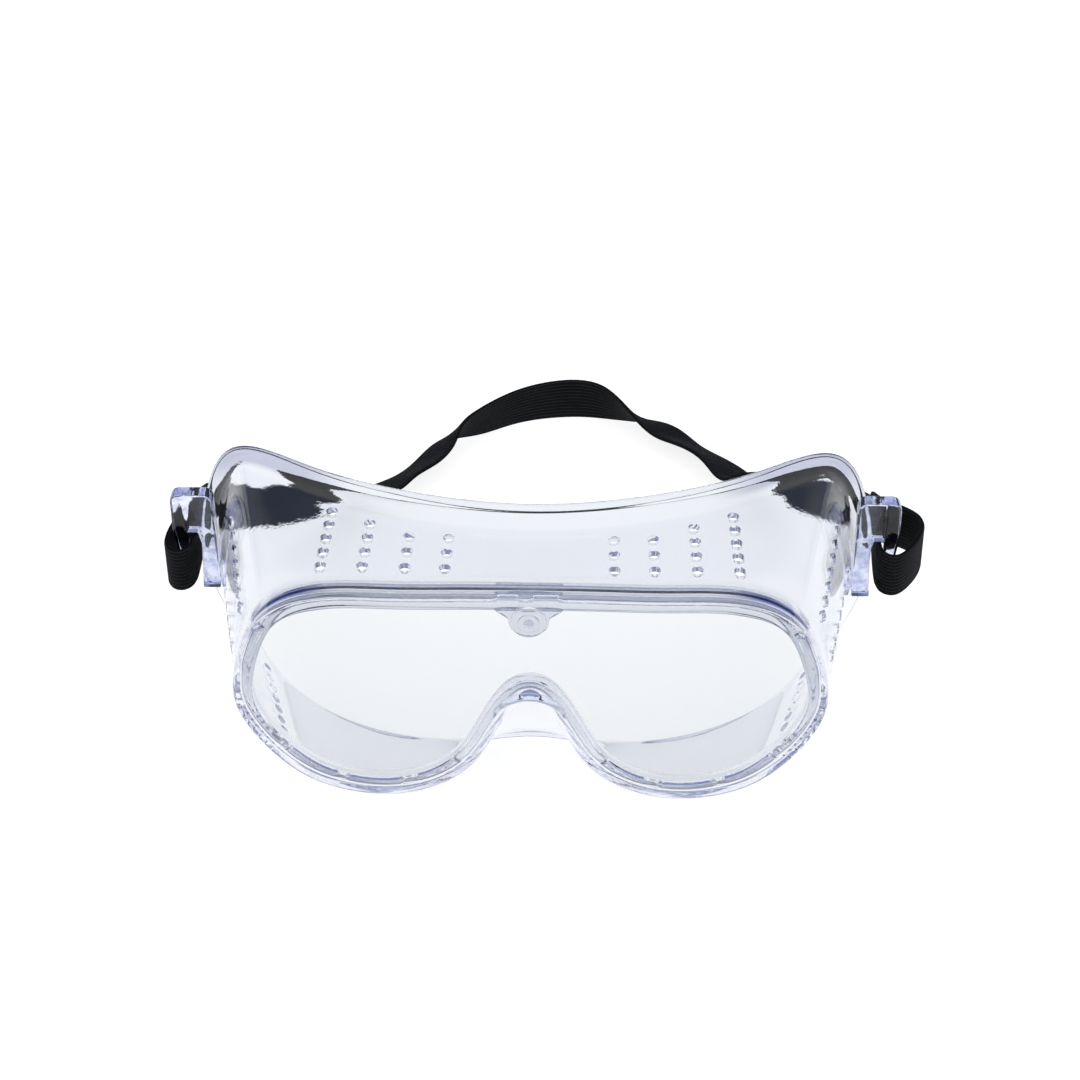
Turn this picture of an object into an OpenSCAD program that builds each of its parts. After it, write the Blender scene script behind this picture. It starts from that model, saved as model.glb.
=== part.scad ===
// Soft clear goggles for a school workshop: a moulded vinyl frame, a flat lens held by a
// lip all round, two strap hooks at the temples and one elastic headband.
// Sizes are in millimetres. X runs to the wearer's left, -Y is the lens side, +Z is up.
// Shapes are first laid out in a "lens frame": y = 0 is the front face of the lens lip.

/* [Lens rim] */
// Share of the drawn outline width and height that the goggles are built at
fit_scale = 1.0; // [0.9:0.01:1.1]
// Width of the lip that covers the edge of the lens
lip_width = 5.0; // [4:0.5:6]
// Thickness of that lip, front to back
lip_thick = 1.8; // [1.2:0.1:2.4]
// Thickness of the flat lens
lens_thick = 1.4; // [1:0.1:2]
// How far the brow ledge stands out in front of the lip
ledge_out = 3.2; // [2:0.1:4]

/* [Skirt] */
// Wall thickness of the soft skirt
wall = 1.7; // [1.4:0.1:2.2]
// Width of the turned-out flange that rests on the face
flange_width = 5.0; // [3:0.5:6]
// Radius of the bead on the flange's edge
bead_radius = 1.1; // [0.9:0.1:1.4]

/* [Vents] */
// Diameter of each vent hole
vent_dia = 2.9; // [2:0.1:3.2]
// Distance between vent holes, front to back
vent_pitch = 5.2; // [4.6:0.1:5.6]

/* [Strap hooks] */
// Depth of a hook, front to back
hook_depth = 4.0; // [3:0.5:5]
// Height of a hook
hook_tall = 30.0; // [28:0.5:34]

/* [Headband] */
// Width of the elastic webbing
band_width = 12.7; // [10:0.1:16]
// Thickness of the elastic webbing
band_thick = 1.3; // [1:0.1:1.5]

/* [Hidden] */

// Half outlines, top centre to nose centre; a smooth closed curve is drawn from each.
rim_half = fit_scale * [
    [0, 67.6], [17, 67.6], [33.5, 67], [51.7, 68.2], [66.7, 61.4], [73, 42.4], [74.7, 28.4],
    [63.4, 10.5], [51.8, 1.8], [33.4, -1.6], [16, 6.6], [9.3, 19.5], [0, 40.8]];
flange_half = fit_scale * [
    [0, 29.6, 69.5], [19.8, 30.6, 70.4], [40.4, 33.1, 72.8], [57.2, 40, 73.2], [77.4, 50.4, 76.2],
    [84.8, 53.2, 56], [87.4, 51.4, 31.5], [76.8, 49, 10], [64, 36, 1], [41, 21.5, 1],
    [21.5, 19, 1.2], [9.2, 19.5, 3], [0, 19.5, 4.4]];
turns = 2 * (len(rim_half) - 1);        // spans in each closed outline
around = 6 * turns;                     // points round each closed outline
lens_y = lip_thick + 0.1;
shelf_y = lens_y + lens_thick + 0.1;
shelf_thick = 1.6;
groove_wall = 1.8;
lens_inset = groove_wall + 0.4;
ledge_tall = 1.9;

// Smooth closed curve: a mirrored list of points blended four at a time.
function mirror_x(p) = [for (k = [0:len(p) - 1]) k == 0 ? -p[0] : p[k]];
function whole(half, i) =
    let (k = (i + 2 * turns) % turns, n = len(half))
    k < n ? half[k] : mirror_x(half[turns - k]);
function blend(a, b, c, d, f) =
    (pow(1 - f, 3) * a + (3 * pow(f, 3) - 6 * pow(f, 2) + 4) * b
     + (-3 * pow(f, 3) + 3 * pow(f, 2) + 3 * f + 1) * c + pow(f, 3) * d) / 6;
function curve(half, u) =
    let (i = floor(u), f = u - floor(u))
    blend(whole(half, i - 1), whole(half, i), whole(half, i + 1), whole(half, i + 2), f);

// Rim outline in the lens plane, moved inward by an inset; the result is [x, z].
function unit(v) = v / norm(v);
function rim_dir(u) = unit(curve(rim_half, u + 0.02) - curve(rim_half, u - 0.02));
function rim_in(u) = [rim_dir(u)[1], -rim_dir(u)[0]];
function rim_at(u, inset) = curve(rim_half, u) + inset * rim_in(u);
function turn_at(k) = k * turns / around;
base_drop = min([for (k = [0:around - 1]) rim_at(turn_at(k), 0)[1]]);

// Flange edge, and the same edge moved inward along the face side.
function flange_dir(u) =
    let (d = curve(flange_half, u + 0.05) - curve(flange_half, u - 0.05)) unit([d[0], d[2]]);
function flange_in(u) = let (d = flange_dir(u)) [d[1], 0, -d[0]];
function flange_at(u, inset, forward) =
    curve(flange_half, u) + inset * flange_in(u) + [0, -forward, 0];
function wall_at(u, share, inset) =
    let (r = rim_at(u, inset), root = flange_at(u, flange_width - 1.2 + inset, 5.5))
    let (front = [r[0], shelf_y, r[1]])
    front + share * (root - front);

// Cross-section of the skirt, walked once round: outside to the flange, then back inside.
wall_steps = 4;
function rim_point(u, inset, y) = let (r = rim_at(u, inset)) [r[0], y, r[1]];
function skirt_section(u) = concat(
    [rim_point(u, 0, lip_thick), rim_point(u, 0, shelf_y)],
    [for (s = [1:wall_steps]) wall_at(u, s / wall_steps, 0)],
    [flange_at(u, flange_width - 1.9, 3.2), flange_at(u, 1.6, 1.3), flange_at(u, 0.6, 0.6)],
    [flange_at(u, 0.6, -0.7), flange_at(u, 2.2, -0.1), flange_at(u, flange_width - 0.4, 1.8)],
    [for (s = [wall_steps:-1:1]) wall_at(u, s / wall_steps, wall)],
    [rim_point(u, wall, shelf_y + shelf_thick), rim_point(u, lip_width, shelf_y + shelf_thick),
     rim_point(u, lip_width, shelf_y), rim_point(u, groove_wall, shelf_y),
     rim_point(u, groove_wall, lip_thick)]);

// Faces of a tube of equal cross-sections, joined end to end when it is a ring.
function tube_faces(rows, cols, ring) = concat(
    [for (r = [0:(ring ? rows - 1 : rows - 2)], c = [0:cols - 1])
        let (a = r * cols + c, b = r * cols + (c + 1) % cols,
             e = ((r + 1) % rows) * cols + c, g = ((r + 1) % rows) * cols + (c + 1) % cols)
        each [[a, b, g], [a, g, e]]],
    ring ? [] : [[for (c = [cols - 1:-1:0]) c], [for (c = [0:cols - 1]) (rows - 1) * cols + c]]);

module ring_solid(sections) {
    rows = len(sections);
    cols = len(sections[0]);
    polyhedron([for (s = sections) each s], tube_faces(rows, cols, true), convexity = 6);
}

module rod_solid(sections) {
    rows = len(sections);
    cols = len(sections[0]);
    polyhedron([for (s = sections) each s], tube_faces(rows, cols, false), convexity = 6);
}

// A flat outline in the lens plane, given depth from y_front to y_back.
module lens_plate(points, y_front, y_back) {
    translate([0, y_back, 0]) rotate([90, 0, 0]) linear_extrude(y_back - y_front) polygon(points);
}

function outline(inset) = [for (k = [0:around - 1]) rim_at(turn_at(k), inset)];

// Vent holes: upright columns in the top wall, which fan in a little towards the face, and
// columns that run front to back along each side wall.
// [distance from centre, holes, share of vent_pitch]
vent_columns = [[20.5, 3, 1.17], [30.2, 3, 1.13], [40.5, 4, 1], [50.7, 5, 0.94]];
vent_first_y = 9.0;
vent_fan = 0.006;
side_columns = [4.65, 5.4, 6.25, 7.1];                 // place round the outline, in turns
side_vents = 7;
side_from = 0.2;          // shares of the wall's depth where the side columns begin and end
side_to = 0.78;

module vents() {
    for (side = [-1, 1], c = vent_columns, k = [0:c[1] - 1])
        translate([side * c[0] * (1 - vent_fan * k), vent_first_y + k * c[2] * vent_pitch, 55])
            cylinder(h = 30, d = vent_dia, $fn = 8);
    for (side = [-1, 1], u = side_columns, k = [0:side_vents - 1])
        mirror([side < 0 ? 1 : 0, 0, 0])
            side_vent(u, side_from + k * (side_to - side_from) / (side_vents - 1));
}

// One hole straight through the side wall.
module side_vent(u, share) {
    outer = wall_at(u, share, -3);
    v = wall_at(u, share, wall + 3) - outer;
    translate(outer) rotate([0, acos(v[2] / norm(v)), atan2(v[1], v[0])])
        cylinder(h = norm(v), d = vent_dia, $fn = 8);
}

module seat() { translate([0, -seat_shift, -base_drop]) children(); }

module skirt() {
    color([0.85, 0.89, 0.95, 0.4]) seat() difference() {
        ring_solid([for (k = [0:around - 1]) skirt_section(turn_at(k))]);
        vents();
    }
}

// Rolled bead that finishes the flange's edge.
bead_sides = 6;
module face_bead() {
    color([0.78, 0.83, 0.93, 0.5]) seat()
        ring_solid([for (k = [0:around - 1])
            let (u = turn_at(k), mid = flange_at(u, 0, 0), out = -flange_in(u))
            [for (s = [0:bead_sides - 1])
                mid + bead_radius * (cos(360 * s / bead_sides) * out
                    + sin(360 * s / bead_sides) * [0, 1, 0])]]);
}

// Front lip that covers the edge of the lens.
module lens_lip() {
    color([0.82, 0.87, 0.95, 0.5]) seat() difference() {
        lens_plate(outline(0), 0, lip_thick);
        lens_plate(outline(lip_width), -1, lip_thick + 1);
    }
}

// Tab with a round boss that reaches down over the lens at the top centre.
tab_drop = 9.4;
tab_z = 67.4 * fit_scale - tab_drop;
boss_radius = 4.6;
boss_ring = 2.5;
boss_dimple = 1.25;
boss_out = 0.8;
module lens_tab() {
    root_z = 67.4 * fit_scale - lip_width;
    color([0.82, 0.87, 0.95, 0.5]) seat() {
        lens_plate(concat([[-8.4, root_z], [-5, tab_z]],
            [for (a = [180:15:360]) [5 * cos(a), tab_z + 5 * sin(a)]],
            [[5, tab_z], [8.4, root_z]]), 0, lip_thick);
        translate([0, 0, tab_z]) rotate([90, 0, 0]) difference() {
            translate([0, 0, -0.2]) cylinder(h = boss_out + 0.2, r = boss_radius);
            translate([0, 0, boss_out - 0.4]) difference() {
                cylinder(h = 1, r = boss_ring + 0.4);
                translate([0, 0, -1]) cylinder(h = 3, r = boss_ring);
            }
            translate([0, 0, boss_out - 0.6]) cylinder(h = 1, r = boss_dimple);
        }
    }
}

// A thin strip that follows part of the outline, between two insets.
function strip(from, to, steps, out_inset, in_inset) = concat(
    [for (s = [0:steps]) rim_at(from + s * (to - from) / steps, out_inset)],
    [for (s = [steps:-1:0]) rim_at(from + s * (to - from) / steps, in_inset)]);

ledge_reach = 4.5;       // how far round the outline the brow ledge runs each way
ledge_hook = 3.6;        // how far its two ends turn in across the lip
ledge_gap = 7.7;         // half width of the shallow part at the centre
gate_x = [-1.3, 0.9];
module brow_ledge() {
    color([0.62, 0.68, 0.86, 0.6]) seat() {
        difference() {
            lens_plate(strip(-ledge_reach, ledge_reach, 60, -0.6, ledge_tall - 0.6), -ledge_out, 0);
            translate([-ledge_gap, -ledge_out - 1, 60]) cube([2 * ledge_gap, 2.2, 12]);
        }
        for (x = gate_x) translate([x - 0.5, -ledge_out, 66]) cube([1, 2.5, 1.4]);
        for (side = [-1, 1])
            lens_plate(strip(side * (ledge_reach - 0.09), side * ledge_reach, 2, -0.6, ledge_hook),
                -ledge_out, 0);
    }
}

nose_arc = 10;            // radius of the little visor over the nose
nose_arc_z = 23.8;
nose_thick = 1.3;
nose_out = 2.6;
nose_start = 24;
module nose_ledge() {
    color([0.66, 0.72, 0.88, 0.6]) seat()
        lens_plate(concat(
            [for (a = [nose_start:6:180 - nose_start])
                [nose_arc * cos(a), nose_arc_z + nose_arc * sin(a)]],
            [for (a = [180 - nose_start:-6:nose_start])
                [(nose_arc - nose_thick) * cos(a), nose_arc_z + (nose_arc - nose_thick) * sin(a)]]),
            -nose_out, 0);
}

module lens() {
    color([0.93, 0.96, 0.98, 0.2]) seat()
        lens_plate(outline(lens_inset), lens_y, lens_y + lens_thick);
}

// Hook at one temple: a plate on the skirt, a bridge, and a prong that hangs down.
hook_y = 45;              // middle of the hook, measured back from the lip
hook_top = 62.3;
plate_in = 81.0;
plate_out = 86.4;
prong_in = 89.3;
prong_out = 92.8;
bridge_low = hook_top - 12;
prong_low = 35.2;
hook_half = hook_depth / 2;
module strap_hook(side) {
    color([0.60, 0.66, 0.84, 0.7]) seat() mirror([side < 0 ? 1 : 0, 0, 0])
        translate([0, hook_y + hook_half, 0]) rotate([90, 0, 0]) linear_extrude(hook_depth) polygon([
            [plate_in + 1.6, hook_top - 2.4], [plate_in + 3.2, hook_top - 0.6],
            [plate_in + 5.2, hook_top], [prong_out - 2.6, hook_top], [prong_out - 0.8, hook_top - 0.9],
            [prong_out, hook_top - 2.8], [prong_out - 0.7, bridge_low],
            [prong_out - 1.8, prong_low + 1], [prong_out - 2.2, prong_low],
            [prong_in + 0.5, prong_low], [prong_in + 0.1, prong_low + 1], [prong_in, bridge_low],
            [plate_out, bridge_low], [plate_out - 0.9, bridge_low - 8],
            [plate_out + 0.4, hook_top - hook_tall], [plate_in + 1, hook_top - hook_tall]]);
}
module strap_hook_left() { strap_hook(-1); }
module strap_hook_right() { strap_hook(1); }

// Headband: [x, y, z, lean] along the middle of the webbing, from the right tail round the
// prong, through the slot and round the back; side_left is drawn on the right and flipped.
// The lean is how far the top edge rolls towards the goggles.
side_right = [
    [89.6, 79, 31.8, 2], [90.6, 71, 36.4, 0], [92.4, 65, 39.6, 0], [95.8, 59.5, 41.6, 0],
    [97.5, 53.5, 42.8, 0], [96.2, 46.2, 43.2, 0], [93.6, 40.4, 43.2, 0], [91.2, 37.8, 43.2, 0],
    [88.1, 39.8, 43.2, 0], [87.8, 45, 43, 0], [88, 52, 42.4, 0], [88.5, 60, 40.8, 0],
    [88.8, 68, 38, 0], [88, 76, 33.6, 2]];
side_left = [
    [89.6, 79, 31.8, 2], [90.4, 71, 36.2, 0], [91.8, 63, 39.6, 0], [94.8, 55, 41.2, 0],
    [97, 48, 42, 0], [97.3, 42, 42, 0], [94.6, 38.4, 42, 0], [90.8, 37.6, 42, 0],
    [88, 39.8, 42, 0], [87.8, 45, 42, 0], [87.9, 52, 41.6, 0], [88.5, 60, 40.4, 0],
    [88.8, 68, 37.8, 0], [88, 76, 33.6, 2]];
right_run = [
    [84.8, 87, 28.5, 6], [79.5, 98, 21.5, 10], [74, 107, 15.5, 12], [66.5, 116, 12, 16],
    [60.5, 123.5, 8.5, 42], [56, 129, 5, 76], [52.5, 135.5, 5, 66], [47.5, 142, 5, 55],
    [41, 148.5, 3.8, 56], [34.5, 155.5, 4, 80], [24.5, 161.5, 5.6, 36], [14.5, 167.5, 7, -5],
    [3, 167, 7.2, -5]];
left_run = [
    [-9.5, 163, 7.2, 6], [-19.5, 156, 6.2, 12], [-27.5, 151, 6.5, 37], [-31.5, 144.5, 4.2, 60],
    [-35.5, 136.5, 3.8, 59], [-41.5, 130, 4.2, 52], [-46.5, 124, 3.8, 75], [-52, 119.5, 6.2, 44],
    [-59, 113, 8.8, 18], [-68, 105, 11.2, 16], [-76.5, 96.5, 17, 12], [-83.2, 87, 24, 6]];
function flip(run) = [for (k = [len(run) - 1:-1:0]) mirror_x(run[k])];
band_points = concat(side_right, right_run, left_run, flip(side_left));
band_last = len(band_points) - 1;
function band_point(i) = band_points[max(0, min(band_last, i))];
function band_curve(t) =
    let (i = floor(t), f = t - floor(t))
    blend(band_point(i - 1), band_point(i), band_point(i + 1), band_point(i + 2), f);
function xyz(p) = [p[0], p[1], p[2]];
function band_dir(t) = unit(xyz(band_curve(t + 0.05)) - xyz(band_curve(t - 0.05)));
function band_section(t, width, thick) =
    let (p = band_curve(t), along = band_dir(t), up0 = unit([0, 0, 1] - along[2] * along),
         up = cos(p[3]) * up0 - sin(p[3]) * cross(along, up0), out = cross(along, up),
         w = width / 2 * up, b = thick / 2 * out)
    [xyz(p) + w + b, xyz(p) + w - b, xyz(p) - w - b, xyz(p) - w + b];
band_steps = 4;           // cross-sections per point of the path

module headband() {
    color([0.09, 0.10, 0.12]) translate([0, -seat_shift, 0])
        rod_solid([for (k = [0:band_steps * band_last])
            band_section(k / band_steps, band_width, band_thick)]);
}

// Stitching that joins each tail to the webbing beside it.
tail_rows = [0.8, 1.3];
stitch_long = 0.04;       // share of a span that one row of thread takes up
stitch_in = 0.85;         // from the middle of the tail to the middle of both layers
function stitch_section(t) =
    let (q = band_section(t, band_width - 3, 2 * band_thick + 1.2),
         across = unit(q[0] - q[1]))
    [for (corner = q) corner + stitch_in * across];
module stitch(side) {
    color([0.16, 0.17, 0.19]) translate([0, -seat_shift, 0]) mirror([side < 0 ? 1 : 0, 0, 0])
        for (t = tail_rows)
            rod_solid([stitch_section(t - stitch_long), stitch_section(t + stitch_long)]);
}
module stitch_left() { stitch(-1); }
module stitch_right() { stitch(1); }

// The origin sits on the table, under the middle of the whole thing.
band_back = max([for (k = [0:band_steps * band_last])
    max([for (q = band_section(k / band_steps, band_width, band_thick)) q[1]])]);
seat_shift = (band_back - ledge_out) / 2;

skirt();
face_bead();
lens_lip();
lens_tab();
brow_ledge();
nose_ledge();
lens();
strap_hook_left();
strap_hook_right();
headband();
stitch_left();
stitch_right();
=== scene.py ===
# %% [markdown]
# # Clear safety goggles
# The goggles are one soft, clear vinyl moulding that seals on the face, a flat clear lens held
# in a groove all round, and a black elastic headband looped over a hook at each temple.
# This lesson models each of them with mesh operators and gives each a procedural finish.
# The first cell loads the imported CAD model, which sets every size and place used below.

# %% Load the frame
import math

import bmesh
import bpy
from mathutils import Matrix, Vector


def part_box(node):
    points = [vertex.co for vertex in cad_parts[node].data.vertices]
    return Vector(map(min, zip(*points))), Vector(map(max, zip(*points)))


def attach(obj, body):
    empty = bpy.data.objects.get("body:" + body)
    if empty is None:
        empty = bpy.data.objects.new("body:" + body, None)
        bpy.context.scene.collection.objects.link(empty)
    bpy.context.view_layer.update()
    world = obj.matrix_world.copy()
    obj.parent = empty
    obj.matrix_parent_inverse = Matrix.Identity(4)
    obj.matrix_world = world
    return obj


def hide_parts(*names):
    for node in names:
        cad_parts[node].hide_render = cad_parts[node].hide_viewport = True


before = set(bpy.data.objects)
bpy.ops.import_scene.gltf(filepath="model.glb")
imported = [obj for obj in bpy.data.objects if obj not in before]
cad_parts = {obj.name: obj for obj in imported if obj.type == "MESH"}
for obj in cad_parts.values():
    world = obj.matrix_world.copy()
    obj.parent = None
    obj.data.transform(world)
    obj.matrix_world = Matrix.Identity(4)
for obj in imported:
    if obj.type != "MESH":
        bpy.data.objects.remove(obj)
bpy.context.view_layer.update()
lip_low, lip_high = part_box("lens_lip")

# %% [markdown]
# ## The two outlines
# The front rim is a flat closed curve and the flange on the face is a curve in space. Each is
# drawn from a few corner points of its right half, in millimetres, by a cubic B-spline, which
# never kinks. The left half mirrors the right. A "turn" of 0 is the top centre.

# %% Outline points
RIM_HALF = [(0, 67.6), (17, 67.6), (33.5, 67), (51.7, 68.2), (66.7, 61.4), (73, 42.4), (74.7, 28.4),
            (63.4, 10.5), (51.8, 1.8), (33.4, -1.6), (16, 6.6), (9.3, 19.5), (0, 40.8)]
FLANGE_HALF = [(0, 29.6, 69.5), (19.8, 30.6, 70.4), (40.4, 33.1, 72.8), (57.2, 40, 73.2),
               (77.4, 50.4, 76.2), (84.8, 53.2, 56), (87.4, 51.4, 31.5), (76.8, 49, 10),
               (64, 36, 1), (41, 21.5, 1), (21.5, 19, 1.2), (9.2, 19.5, 3), (0, 19.5, 4.4)]


def blend_weights(f):
    """Shares of four neighbouring points in a cubic B-spline."""
    return ((1 - f) ** 3 / 6, (3 * f ** 3 - 6 * f ** 2 + 4) / 6,
            (-3 * f ** 3 + 3 * f ** 2 + 3 * f + 1) / 6, f ** 3 / 6)


def whole_outline(half):
    """The right half followed by its mirror image, as vectors."""
    right = [Vector(p) for p in half]
    left = [Vector((-p[0], *p[1:])) for p in half[-2:0:-1]]
    return right + left


RIM = whole_outline(RIM_HALF)
FLANGE = whole_outline(FLANGE_HALF)
TURNS = len(RIM)


def closed_curve(points, turn):
    """A point on the smooth closed curve."""
    start = math.floor(turn)
    total = points[0] * 0
    for k, share in enumerate(blend_weights(turn - start)):
        total += share * points[(start - 1 + k) % len(points)]
    return total


def rim_at(turn, inset):
    """A point on the rim outline, moved inward by the inset: (x, z)."""
    ahead = closed_curve(RIM, turn + 0.02) - closed_curve(RIM, turn - 0.02)
    inward = Vector((ahead.y, -ahead.x)).normalized()
    return closed_curve(RIM, turn) + inset * inward


def flange_at(turn, inset, forward):
    """A point near the flange's edge, moved inward and towards the lens."""
    ahead = closed_curve(FLANGE, turn + 0.05) - closed_curve(FLANGE, turn - 0.05)
    inward = Vector((ahead.z, 0, -ahead.x)).normalized()
    return closed_curve(FLANGE, turn) + inset * inward + Vector((0, -forward, 0))


rim_samples = [closed_curve(RIM, 0.1 * k) for k in range(10 * TURNS)]
rim_lowest = min(p.y for p in rim_samples)
rim_span = max(p.x for p in rim_samples) - min(p.x for p in rim_samples)
MM = (lip_high.x - lip_low.x) / rim_span
print("drawn rim is", round(rim_span, 1), "mm wide and one drawn mm is", round(MM, 6), "m")


def on_goggles(x, y, z):
    """A place in the row frame. The lip's front face is y = 0 and y grows towards the face."""
    return Vector((x * MM, lip_low.y + y * MM, lip_low.z + (z - rim_lowest) * MM))


# %% [markdown]
# ## Helpers for working in edit mode
# An operator acts on everything that is selected, so each step starts by deselecting all.
# Swept pieces start as a circle primitive. Its vertices are put on the first outline, then each
# extrude makes the next ring, whose vertices are put in place by the piece's own formula. Each
# vertex keeps its turn in a custom layer, which an extrude copies to the new vertices, and the
# number of its ring as its row.

# %% Edit-mode helpers
def deselect_everything():
    """Leaves edit mode and selects nothing."""
    if bpy.context.object is not None and bpy.context.object.mode != "OBJECT":
        bpy.ops.object.mode_set(mode="OBJECT")
    bpy.ops.object.select_all(action="DESELECT")


def select_only(obj):
    deselect_everything()
    obj.select_set(True)
    bpy.context.view_layer.objects.active = obj


def start_ring(name, count, turns, place):
    """A circle primitive whose vertices are moved onto a first ring. Stays in edit mode."""
    deselect_everything()
    bpy.ops.mesh.primitive_circle_add(vertices=count, radius=0.05)
    ring = bpy.context.object
    ring.name = name
    ring.data.name = name
    bpy.ops.object.mode_set(mode="EDIT")
    bm = bmesh.from_edit_mesh(ring.data)
    turn = bm.verts.layers.float.new("turn")
    row = bm.verts.layers.float.new("row")
    for k, vertex in enumerate(bm.verts):
        vertex[turn] = k * turns / count
        vertex[row] = 0
        vertex.co = place(vertex[turn])
    bmesh.update_edit_mesh(ring.data)
    return ring


def next_ring(piece, place, row_number):
    """Extrudes the selected ring and puts the new one in place."""
    bpy.ops.mesh.extrude_region_move()
    bm = bmesh.from_edit_mesh(piece.data)
    turn = bm.verts.layers.float["turn"]
    row = bm.verts.layers.float["row"]
    for vertex in bm.verts:
        if vertex.select:
            vertex[row] = row_number
            vertex.co = place(vertex[turn])
    bmesh.update_edit_mesh(piece.data)


def finish_mesh():
    """Turns all faces outwards and leaves edit mode."""
    bpy.ops.mesh.select_all(action="SELECT")
    bpy.ops.mesh.normals_make_consistent(inside=False)
    bpy.ops.object.mode_set(mode="OBJECT")


def sweep(name, count, turns, rings, solid=True):
    """Carries a circle primitive along a list of rings. A solid piece is closed by its end
    faces, and any other by a bridge from its last ring to its first."""
    piece = start_ring(name, count, turns, rings[0])
    if solid:
        bpy.ops.mesh.edge_face_add()
        bpy.ops.mesh.select_all(action="SELECT")
    for number, ring in enumerate(rings[1:], start=1):
        next_ring(piece, ring, number)
    if not solid:
        bpy.ops.mesh.select_all(action="DESELECT")
        bpy.ops.mesh.select_non_manifold()
        bpy.ops.mesh.bridge_edge_loops()
    finish_mesh()
    return piece


def extrude_by(x, y, z):
    """Extrudes what is selected and moves it, in metres."""
    bpy.ops.mesh.extrude_region_move(TRANSFORM_OT_translate={"value": (x, y, z)})


def join_pieces(pieces):
    """Joins pieces into one whose origin is the row's origin."""
    deselect_everything()
    for piece in pieces:
        piece.select_set(True)
    bpy.context.view_layer.objects.active = pieces[0]
    bpy.ops.object.join()
    bpy.ops.object.transform_apply(location=True, rotation=True, scale=True)
    return bpy.context.object


def apply_modifier(piece, kind, **settings):
    """Adds one modifier and applies it at once."""
    select_only(piece)
    modifier = piece.modifiers.new(kind.title(), kind)
    for name, value in settings.items():
        setattr(modifier, name, value)
    bpy.ops.object.modifier_apply(modifier=modifier.name)


def smooth(piece, angle=None):
    """Smooth shading, with edges sharper than the angle kept crisp."""
    select_only(piece)
    if angle is None:
        bpy.ops.object.shade_smooth()
    else:
        bpy.ops.object.shade_smooth_by_angle(angle=math.radians(angle))


def kept(piece, name):
    """The turn or the row that each vertex keeps."""
    return [item.value for item in piece.data.attributes[name].data]


def mark(piece, name, numbers):
    """Gives each vertex one more number, which a finish can read."""
    marks = piece.data.attributes.new(name, "FLOAT", "POINT")
    for item, number in zip(marks.data, numbers):
        item.value = number


def select_faces(piece, wanted):
    """In edit mode, selects just the faces that pass the test, and says how many."""
    bpy.ops.mesh.select_mode(type="FACE")
    bpy.ops.mesh.select_all(action="DESELECT")
    bm = bmesh.from_edit_mesh(piece.data)
    turn = bm.verts.layers.float["turn"]
    row = bm.verts.layers.float["row"]
    found = 0
    for face in bm.faces:
        if wanted([v[turn] for v in face.verts], [v[row] for v in face.verts]):
            face.select_set(True)
            found += 1
    bmesh.update_edit_mesh(piece.data)
    return found


# %% [markdown]
# ## The moulding
# The real frame is injected in one shot, so it is modelled as one closed skin: a single
# cross-section that is walked once round, from the front lip, over the outside of the skirt,
# round the rolled bead and back inside to the groove. One skin has no inner faces, which
# matters for clear vinyl, because light would show each of them. The cross-section is a list of
# stations, and each station is a full ring.

# %% Cross-section of the moulding
AROUND = 336              # vertices in each ring
LIP_WIDTH = 5.0           # how far the lip covers the lens
LIP_EXTRA = 1.5           # how much further it reaches down along the top
BAND_INSET = 3.2          # inset where the slanted band along the top begins
SHELF_Y = 3.4             # front of the shelf behind the lens
WALL = 1.7
FLARE_LOST = 0.55         # share by which the flange shrinks along the cheeks and nose
FLARE_FROM = 5.5          # turns from the top centre where it starts to shrink
FLARE_FADE = 2.0
TOP_ENDS = 3.0            # turns from the top centre where the wide top of the lip ends
TOP_FADE = 1.3
ROOT_INSET = 3.8          # where the wall meets the turned-out flange
ROOT_FORWARD = 5.5


def from_top(turn):
    """Turns counted from the top centre, negative on the left."""
    return turn - TURNS if turn > TURNS / 2 else turn


def eased(share):
    """Goes smoothly from 0 to 1 and stays there."""
    share = max(0.0, min(1.0, share))
    return share * share * (3 - 2 * share)


def rim_station(inset, y):
    def place(turn):
        x, z = rim_at(turn, inset)
        return on_goggles(x, y, z)
    return place


# %% [markdown]
# Below each end of the brow ledge the lip's outer corner is cut away at a slant that fades out
# round the temple. The stations of that corner are pushed in by a share of the cut's width.
# Small pads inside the groove steady the lens. They show through the lip as paler blocks.

# %% Slanted corner and groove pads
LEDGE_REACH = 4.34        # turns from the top centre to the ledge's end
SLANT_WIDTH = 3.3
SLANT_FADE = 1.2          # turns that the slant takes to fade out
PAD_TURNS = (6.85, 8.1, 9.2, 10.3)
PAD_HALF = 0.09
PAD_RISE = 0.7


def slant(turn):
    past = abs(from_top(turn)) - LEDGE_REACH
    if past < 0:
        return SLANT_WIDTH * eased(1 + past / 0.15)
    return SLANT_WIDTH * (1 - eased(past / SLANT_FADE))


def top_share(turn):
    """1 along the straight top and 0 elsewhere, with a soft change at the corners."""
    return 1 - eased((abs(from_top(turn)) - TOP_ENDS) / TOP_FADE)


def lip_station(inset, y, band_back):
    """A station near the lip's inner edge, which slants back in a band along the top."""
    def place(turn):
        share = top_share(turn)
        reach = (inset - BAND_INSET) / (LIP_WIDTH - BAND_INSET)
        x, z = rim_at(turn, inset + LIP_EXTRA * reach * share)
        return on_goggles(x, y + band_back * share, z)
    return place


def corner_station(inset, y, cut_in, cut_back):
    def place(turn):
        cut = slant(turn)
        x, z = rim_at(turn, inset + cut_in * cut)
        return on_goggles(x, y + cut_back * cut, z)
    return place


def pad_station(inset, y):
    """A station on the back of the lip, raised where a pad stands."""
    def place(turn):
        near = min(abs(abs(from_top(turn)) - pad) for pad in PAD_TURNS)
        x, z = rim_at(turn, inset)
        return on_goggles(x, y - (PAD_RISE if near < PAD_HALF else 0), z)
    return place


def flare(turn):
    """Size of the turned-out flange: whole on the brow and temples, smaller below."""
    return 1 - FLARE_LOST * eased((abs(from_top(turn)) - FLARE_FROM) / FLARE_FADE)


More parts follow.
